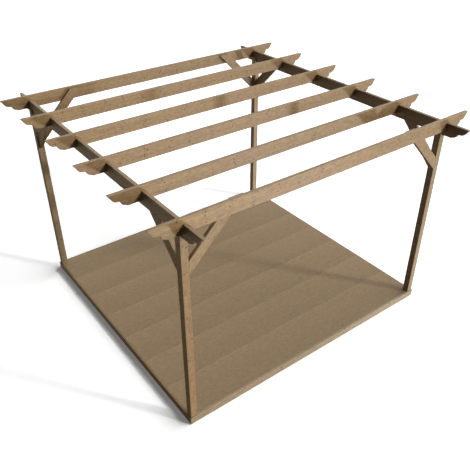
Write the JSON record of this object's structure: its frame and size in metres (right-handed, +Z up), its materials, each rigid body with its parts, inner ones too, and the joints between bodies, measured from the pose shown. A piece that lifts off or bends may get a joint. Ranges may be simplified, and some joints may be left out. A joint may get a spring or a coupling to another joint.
{
  "type": "wooden pergola",
  "caption": "Open wooden garden pergola on a low boarded deck: corner posts, two side rails, sculpted rafters halved over them and braces at each post.",
  "frame": {"origin": "centre of the deck's footprint on the ground", "axes": "+X along the rafters to the right, +Y along the rails from the front to the back, +Z up"},
  "size_m": [3.6, 3.526, 2.224],
  "materials": {
    "frame_timber": "planed softwood, pressure treated, matt",
    "deck_timber": "planed softwood deck boards, pressure treated, matt",
    "fixings": "steel screw heads with a bronze-coloured coating, dulled"
  },
  "bodies": {
    "root": {"front_left_post": "frame_timber", "front_right_post": "frame_timber", "back_left_post": "frame_timber", "back_right_post": "frame_timber", "left_rail": "frame_timber", "right_rail": "frame_timber", "rafter_1": "frame_timber", "rafter_2": "frame_timber", "rafter_3": "frame_timber", "rafter_4": "frame_timber", "rafter_5": "frame_timber", "rafter_6": "frame_timber", "front_left_rafter_brace": "frame_timber", "front_left_rail_brace": "frame_timber", "front_right_rafter_brace": "frame_timber", "front_right_rail_brace": "frame_timber", "back_left_rafter_brace": "frame_timber", "back_left_rail_brace": "frame_timber", "back_right_rafter_brace": "frame_timber", "back_right_rail_brace": "frame_timber", "deck_surface": "deck_timber", "deck_joists": "deck_timber", "front_fascia": "deck_timber", "back_fascia": "deck_timber", "left_fascia": "deck_timber", "right_fascia": "deck_timber"}
  },
  "joints": []
}
